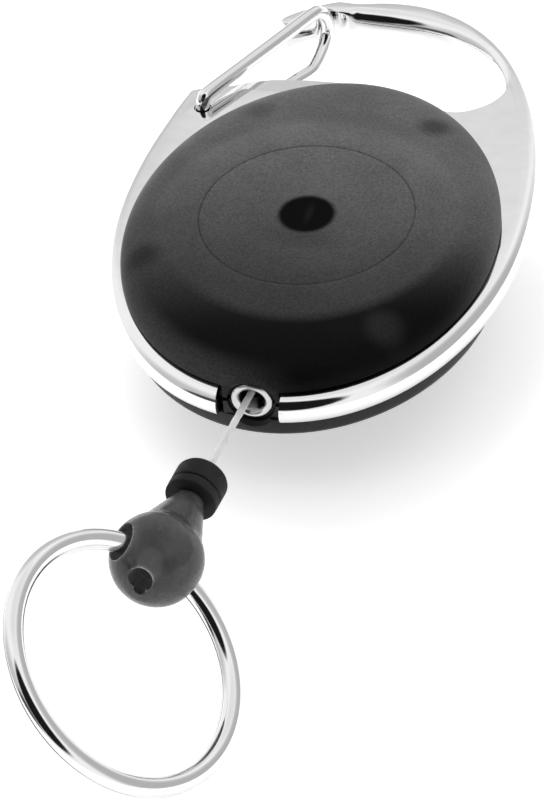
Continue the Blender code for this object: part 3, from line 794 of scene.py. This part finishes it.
def cover_rings(count, groove, wall_top):
    """Rings of one cover, from its inner middle over the lip to its outer middle, z from MID_Z."""
    lip_z, skirt_z = FRAME_T / 2 + 0.15, 0.15
    crown_z, flat_z = 4.85, MID_Z
    rings = [between(0, 0.2, 1, flat_z - WALL, count), between(0, FLAT_R, 1, flat_z - WALL, count)]
    rings.append(between(0, DOME_R - 1, 1, crown_z - WALL, count))
    for k in range(1, 6):
        a = math.pi / 2 * k / 5
        rise = (crown_z - WALL - lip_z) * math.cos(a)
        rings.append(between(LIP + 1.15, DOME_R - 1, 1 - math.sin(a), lip_z + rise, count))
    rings.append(between(LIP + 1.15, DOME_R, 0, skirt_z, count))
    rings.append(between(LIP + 0.15, DOME_R, 0, skirt_z, count))
    rings.append(between(LIP + 0.15, DOME_R, 0, lip_z, count))
    rings.append(between(0.12, DOME_R, 0, lip_z, count))
    rings.append(between(0.03, DOME_R, 0, lip_z + 0.05, count))
    rings.append(between(0, DOME_R, 0, lip_z + 0.15, count))
    steps = 16
    for k in range(steps + 1):
        a = math.pi / 2 * k / steps
        rise = (crown_z - wall_top) * math.sin(a)
        rings.append(between(0, DOME_R, 1 - math.cos(a), wall_top + rise, count))
    for k in range(1, 8):
        share = k / 8
        radius = DOME_R + (FLAT_R - DOME_R) * share
        rise = (flat_z - crown_z) * (1 - (1 - share) ** 2)
        rings.append(between(0, radius, 1, crown_z + rise, count))
    if groove:
        rings.append(between(0, FLAT_R + 0.09, 1, flat_z - 0.005, count))
        rings.append(between(0, FLAT_R, 1, flat_z - 0.045, count))
        rings.append(between(0, FLAT_R - 0.09, 1, flat_z - 0.005, count))
    else:
        rings.append(between(0, FLAT_R, 1, flat_z, count))
    rings += [between(0, r, 1, flat_z, count) for r in (FLAT_R * 0.75, FLAT_R * 0.5, FLAT_R * 0.25, 0.3)]
    return rings


ALONG_Y = Matrix.Rotation(math.pi / 2, 3, "X")


def build_cover(side, name, look, node, wall_top):
    """Side is 1 for the front and -1 for the rear. Each holds half of the collar that seats the eyelet."""
    rings = cover_rings(160, side > 0, wall_top)
    placed = [[(x, y, MID_Z + side * z) for x, y, z in ring] for ring in rings]
    cover = loft(name, placed)
    near, far = sorted((side * 0.21, side * 2.9))
    collar_low = (MOUTH_X - 2.7, OUTLET_Y - 0.45, MID_Z + near)
    collar_high = (MOUTH_X + 2.7, -18.0, MID_Z + far)
    cut(cover, box("collar", collar_low, collar_high), "UNION")
    outlet = (MOUTH_X, OUTLET_Y, MID_Z)
    seat = [(0, -0.001), (2.18, -0.001), (2.25, 0.05), (2.3, 0.5), (2.6, 0.8), (2.6, 4), (0, 4)]
    cut(cover, revolve("seat", seat, 48, ALONG_Y, outlet))
    barrel = [(0, -6), (1.62, -6), (1.62, 2), (0, 2)]
    cut(cover, revolve("barrel_hole", barrel, 40, ALONG_Y, outlet))
    place(smooth(drop_slivers(cover), 35), look, "case", node)


build_cover(1, "front_shell", cover_smoke, "front_cover", WALL_FRONT)
build_cover(-1, "rear_shell", rear_smoke, "rear_cover", WALL_REAR)


def build_eyelet():
    """A turned barrel with a rolled lip in front, flared over at its inner end."""
    lip = [(1.1, 1.3), (1.11, 0.95), (1.14, 0.65), (1.18, 0.44), (1.25, 0.28), (1.34, 0.16)]
    lip += [(1.45, 0.07), (1.55, 0.02), (1.65, 0.0), (1.76, 0.02), (1.86, 0.07), (1.95, 0.14)]
    lip += [(2.01, 0.22), (2.03, 0.3), (2.01, 0.38), (1.96, 0.41), (1.5, 0.42), (1.5, 2.8)]
    flare = [(1.56, 2.95), (1.9, 2.97), (1.92, 3.1), (1.62, 3.14), (1.3, 2.85), (1.1, 2.4)]
    profile = [(r, -z) for r, z in lip + flare]
    piece = revolve("eyelet_rolled", profile, 72, ALONG_Y, EYELET_AT)
    place(smooth(piece, 50), eyelet_chrome, "case", "eyelet")


build_eyelet()

# ---------------------------------------------------------------- bumper, bell and ring

CORD_TURN = Matrix((UP.cross(CORD_DIR), UP, CORD_DIR)).transposed()


def build_bumper():
    """The rubber sleeve and, past a narrow groove, the washer."""
    bore, r = CORD_BORE, BUMPER_R
    top, seam, bottom = BUMPER_S, NECK_S - 1.2, NECK_S - 0.1
    low = seam + 0.1
    sleeve = [(bore, top), (2.25, top), (r, top + 0.4), (r, seam - 0.12), (2.38, seam), (bore, seam)]
    washer = [(bore, low), (2.4, low), (r, low + 0.12)]
    washer += [(2.46, bottom - 0.1), (2.36, bottom), (bore, bottom)]
    pieces = (("bumper_upper", sleeve, "bumper_sleeve"), ("bumper_lower", washer, "bumper_washer"))
    for name, profile, node in pieces:
        piece = revolve(name, rounded_profile(profile, 0.12, 3), 64, CORD_TURN, EXIT)
        for v in piece.data.vertices:
            dent = noise.noise(v.co * 520) * 0.02 * MM
            axis = along_cord((v.co / MM - EXIT).dot(CORD_DIR)) * MM
            v.co -= (v.co - axis).normalized() * abs(dent)
        place(smooth(piece, 45), rubber, "cord_end", node)


build_bumper()


def build_bell():
    """A ball with a conical neck, the cord's bore, the knot's chamber, and the ring's flared hole."""
    join_a, flat_a = math.radians(47), math.radians(18)
    end_a = math.pi - flat_a
    neck_top = NECK_S + 0.2
    profile = [(CORD_BORE, NECK_S), (NECK_R - 0.2, NECK_S)]
    profile += [(NECK_R - 0.05, NECK_S + 0.06), (NECK_R, neck_top)]
    join_r, join_s = BELL_R * math.sin(join_a), BELL_S - BELL_R * math.cos(join_a)
    for k in range(1, 8):
        share = k / 8
        profile.append((NECK_R + (join_r - NECK_R) * share, neck_top + (join_s - neck_top) * share))
    steps = 36
    for k in range(steps + 1):
        a = join_a + (end_a - join_a) * k / steps
        profile.append((BELL_R * math.sin(a), BELL_S - BELL_R * math.cos(a)))
    profile += [(CORD_BORE, BELL_S + BELL_R * math.cos(flat_a))]
    bell = revolve("bell_ball", profile, 96, CORD_TURN, EXIT)
    chamber = [(0, -1.25), (CORD_R + 0.3, -1.25), (1.15, -0.95), (1.15, 8), (0, 8)]
    tilt = CHAMBER_DIR.to_track_quat("Z", "Y").to_matrix()
    cut(bell, revolve("knot_chamber", chamber, 64, tilt, along_cord(KNOT_S)))
    waist, mouth, reach = HOLE_WAIST, HOLE_MOUTH, HOLE_REACH
    flare = [(0, -reach), (mouth, -reach)]
    flare += [(waist + (mouth - waist) * (z / reach) ** 2, z) for z in np.linspace(-4.8, 4.8, 17)]
    flare += [(mouth, reach), (0, reach)]
    across = HOLE.to_track_quat("Z", "Y").to_matrix()
    cut(bell, revolve("ring_hole", flare, 64, across, HOLE_AT))
    place(smooth(drop_slivers(bell), 40), bell_smoke, "bell", "bell_end")


build_bell()


def build_ring():
    """Half-round wire wound twice, flat on flat. Its cross-over and its ends are inside the bell."""
    turn = Matrix((HOLE, RING_NORMAL.cross(HOLE), RING_NORMAL)).transposed()
    half_w, slit = RING_W / 2, 0.09
    dome = RING_T / 2 - slit
    start, cross, ends_apart = 108, 30.0, 3
    steps = 420
    sides = 22
    rings = []
    for k in range(steps + 1):
        a = (720 - cross - ends_apart) * k / steps
        x = min(max((a - 360 + cross) / cross, 0.0), 1.0)
        level = x * x * (3 - 2 * x)
        direction = math.radians(start + a)
        radial = Vector((math.cos(direction), math.sin(direction), 0))
        ring = []
        for j in range(sides):
            b = math.tau * (j + 0.5) / sides
            u, v = half_w * math.cos(b), math.sin(b)
            flat = slit - 0.06 * math.sqrt(abs(v))
            upper = slit + dome * v if v > 0 else flat
            lower = -slit + dome * v if v < 0 else -flat
            local = radial * (RING_MEAN_R + u) + Vector((0, 0, lower + (upper - lower) * level))
            ring.append(turn @ local + RING_AT)
        rings.append(ring)
    piece = loft("split_ring_coil", rings)
    place(smooth(piece, 50), ring_steel, "ring", "split_ring")


build_ring()

# ---------------------------------------------------------------- CAD nodes that stay

for node_name, node_look in (
    ("spindle", acetal),
    ("thrust_washer", film),
    ("spool_drum", reel_grey),
    ("spool_flange", reel_grey),
    ("spring_retainer", film),
    ("power_spring", blued),
    ("cord_winding", white_cord),
    ("anchor_knot", white_cord),
    ("end_knot", white_cord),
):
    dress_node(node_name, node_look)

# ---------------------------------------------------------------- floor, light and world


def build_floor():
    """White paper that glows a little, just under the object's lowest point."""
    z = CAD_BOX[0][2] / MM - 0.05
    size = 900.0
    corners = [(-size, -size, z), (size, -size, z), (size, size, z), (-size, size, z)]
    floor = add_object("floor", corners, [(0, 1, 2, 3)])
    look = Look("floor_paper", grey(0.93), 0.6)
    look.set("Emission Color", (1.0, 1.0, 1.0, 1.0))
    look.set("Emission Strength", 0.5)
    look.set("Specular IOR Level", 0.1)
    look.to("Base Color", look.ramp(look.noise(0.02, 2.0), [(0.3, 0.92), (0.7, 0.94)]))
    floor.data.materials.append(look.material)


build_floor()


def build_light():
    """One broad soft light behind the object, kept out of the chrome's reflections."""
    data = bpy.data.lights.new("key_soft", "AREA")
    data.shape = "DISK"
    data.size = 0.5
    data.energy = 1.2
    light = bpy.data.objects.new("key_soft", data)
    at = Vector((-0.25, 0.35, 0.55))
    light.location = at
    light.visible_glossy = False
    light.rotation_euler = (-at).to_track_quat("-Z", "Y").to_euler()
    bpy.context.scene.collection.objects.link(light)


build_light()

# Darker zones of the white tent round the object, as (direction, edge angle, full angle, brightness).
DARK_ZONES = (
    ((0.05, -0.76, 0.65), 37, 29, 0.01),  # the opening that the camera looks through
    ((-0.62, -0.78, 0.05), 22, 13, 0.12),  # a card low on the left, in front
    ((-0.8, -0.55, 0.1), 50, 15, 0.6),  # a soft fall round that card
    ((0.9, 0.3, 0.25), 50, 18, 0.5),  # the right side
    ((0.0, 0.35, 1.0), 34, 8, 0.84),  # overhead
    ((-0.3, 1.0, 0.15), 40, 15, 0.6),  # low behind the hook
)


def build_world():
    """A white tent with the darker zones in it."""
    world = bpy.data.worlds.new("studio")
    world.use_nodes = True
    bpy.context.scene.world = world
    nodes, links = world.node_tree.nodes, world.node_tree.links
    background = nodes["Background"]
    coords = nodes.new("ShaderNodeTexCoord")

    def zone(direction, outer, inner, low):
        """1 outside the outer angle from the direction, and low inside the inner one."""
        facing = nodes.new("ShaderNodeVectorMath")
        facing.operation = "DOT_PRODUCT"
        facing.inputs[1].default_value = Vector(direction).normalized()
        links.new(coords.outputs["Generated"], facing.inputs[0])
        dark = nodes.new("ShaderNodeMapRange")
        dark.interpolation_type = "SMOOTHSTEP"
        dark.inputs["From Min"].default_value = math.cos(math.radians(outer))
        dark.inputs["From Max"].default_value = math.cos(math.radians(inner))
        dark.inputs["To Min"].default_value = 1.0
        dark.inputs["To Max"].default_value = low
        links.new(facing.outputs["Value"], dark.inputs["Value"])
        return dark.outputs["Result"]

    level = None
    for direction, outer, inner, low in DARK_ZONES:
        factor = zone(direction, outer, inner, low)
        if level is None:
            level = factor
            continue
        product = nodes.new("ShaderNodeMath")
        product.operation = "MULTIPLY"
        links.new(level, product.inputs[0])
        links.new(factor, product.inputs[1])
        level = product.outputs[0]
    links.new(level, background.inputs["Color"])
    background.inputs["Strength"].default_value = 1.0


build_world()
bpy.context.scene.view_settings.view_transform = "Standard"
